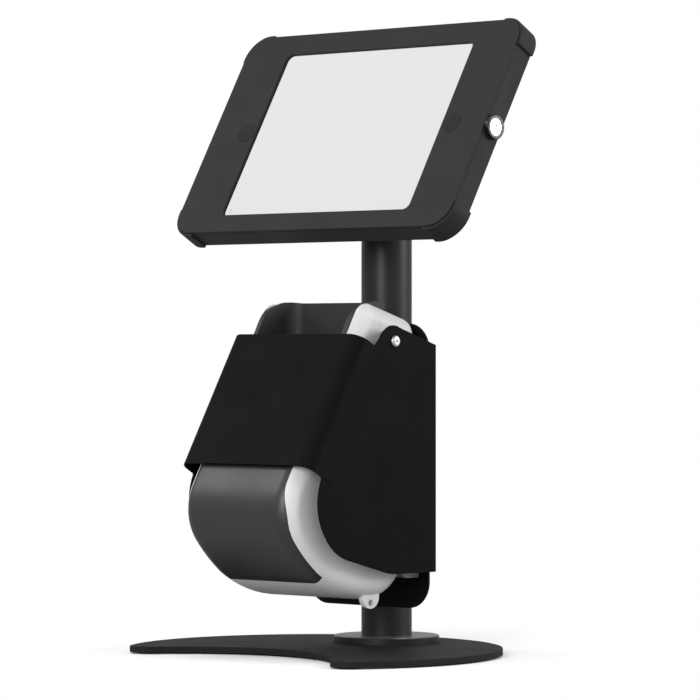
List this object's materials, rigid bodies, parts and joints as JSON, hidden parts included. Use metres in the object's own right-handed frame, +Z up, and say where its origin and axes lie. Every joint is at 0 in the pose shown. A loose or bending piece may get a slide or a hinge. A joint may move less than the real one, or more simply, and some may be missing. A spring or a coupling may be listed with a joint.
{
  "type": "tablet security kiosk stand",
  "caption": "Tablet stand with crescent base, round pole, tilting lockable tablet enclosure with corner protectors, and a hinged bent-sheet shroud over an upright label printer.",
  "frame": {"origin": "on the table, on the pole's axis, at the underside of the base's middle pad", "axes": "+X to the viewer's right, -Y to the viewer and the tablet's face, +Z up along the pole"},
  "size_m": [0.3087, 0.241, 0.5048],
  "materials": {
    "black_steel": "satin powder coat",
    "enclosure_metal": "fine matt powder coat",
    "flange_steel": "satin",
    "dark_screws": "blackened",
    "bright_metal": "bright",
    "lock_black": "gloss black",
    "inner_metal": "plain",
    "tablet_metal": "matt",
    "tablet_glass": "polished",
    "screen": "even pale panel",
    "white_plastic": "satin",
    "grey_plastic": "matt",
    "cover_plastic": "satin",
    "dark_plastic": "matt",
    "washer_plastic": "matt",
    "board_plastic": "matt",
    "label_paper": "matt",
    "rubber_pads": "matt"
  },
  "bodies": {
    "stand": {"base_plate": "black_steel", "base_pads": "rubber_pads", "pole_flange": "flange_steel", "flange_screws": "dark_screws", "pole_tube": "black_steel", "head_socket": "black_steel", "head_screws": "dark_screws", "tilt_bolt": "dark_screws", "tilt_nut": "dark_screws", "printer_bracket": "black_steel", "clamp_strap_lower": "black_steel", "clamp_strap_upper": "black_steel", "clamp_screws": "dark_screws", "clamp_nuts": "dark_screws", "shroud_pins": "bright_metal", "shroud_washers": "washer_plastic", "printer_base": "white_plastic", "printer_top_case": "white_plastic", "printer_roll_cover": "cover_plastic", "label_exit": "dark_plastic", "tear_bar": "bright_metal", "printer_frame": "inner_metal", "print_head": "inner_metal", "cutter_unit": "inner_metal", "drive_motor": "inner_metal", "circuit_board": "board_plastic", "printer_feet": "rubber_pads", "printer_screws": "dark_screws", "printer_rear_foot": "grey_plastic"},
    "tablet_head": {"tilt_washers": "washer_plastic", "tilt_bracket": "black_steel", "mount_screws": "dark_screws", "enclosure_shell": "enclosure_metal", "corner_protector_top_left": "enclosure_metal", "corner_protector_top_right": "enclosure_metal", "corner_protector_bottom_left": "enclosure_metal", "corner_protector_bottom_right": "enclosure_metal", "tablet_body": "tablet_metal", "tablet_glass": "tablet_glass", "tablet_display": "screen", "cradle_corners": "rubber_pads", "lock_barrel": "lock_black", "lock_nut": "bright_metal"},
    "lock": {"lock_plug": "bright_metal", "lock_cam": "bright_metal", "cam_screw": "bright_metal"},
    "front_frame": {"front_frame": "enclosure_metal", "frame_hooks": "enclosure_metal", "frame_keeper": "enclosure_metal", "home_button_cover": "cover_plastic", "camera_cover": "cover_plastic"},
    "shroud": {"printer_shroud": "black_steel", "shroud_bumpers": "rubber_pads"},
    "roll": {"label_roll": "label_paper", "roll_spool": "dark_plastic"},
    "platen": {"platen_roller": "rubber_pads"},
    "power_button": {"power_button": "dark_plastic"},
    "feed_button": {"feed_button": "dark_plastic"}
  },
  "joints": [
    {"name": "tablet_tilt", "type": "hinge", "parent": "stand", "child": "tablet_head", "pos_m": [0, 0, 0.3941], "axis": [1, 0, 0], "range_deg": [-45, 30]},
    {"name": "lock_turn", "type": "hinge", "parent": "tablet_head", "child": "lock", "pos_m": [0.14925, -0.03823, 0.41618], "axis": [-1, 0, 0], "range_deg": [0, 90]},
    {"name": "front_frame_open", "type": "hinge", "parent": "tablet_head", "child": "front_frame", "pos_m": [-0.1523, -0.04599, 0.42065], "axis": [0, -0.5, -0.866], "range_deg": [0, 85]},
    {"name": "shroud_swing", "type": "hinge", "parent": "stand", "child": "shroud", "pos_m": [0, -0.0672, 0.2497], "axis": [-1, 0, 0], "range_deg": [0, 75]},
    {"name": "label_roll_spin", "type": "hinge", "parent": "stand", "child": "roll", "pos_m": [0, -0.10506, 0.1221], "axis": [1, 0, 0], "continuous": true},
    {"name": "platen_spin", "type": "hinge", "parent": "stand", "child": "platen", "pos_m": [0, -0.08011, 0.22124], "axis": [1, 0, 0], "continuous": true},
    {"name": "power_button_press", "type": "slide", "parent": "stand", "child": "power_button", "axis": [0, 0.866, -0.5], "range_m": [0, 0.0008], "stiffness_N_per_m": 600, "springref_m": -0.001},
    {"name": "feed_button_press", "type": "slide", "parent": "stand", "child": "feed_button", "axis": [0, 0.866, -0.5], "range_m": [0, 0.0008], "stiffness_N_per_m": 600, "springref_m": -0.001}
  ],
  "couplings": [
    {"joint": "platen_spin", "follows": "label_roll_spin", "ratio": 6}
  ]
}
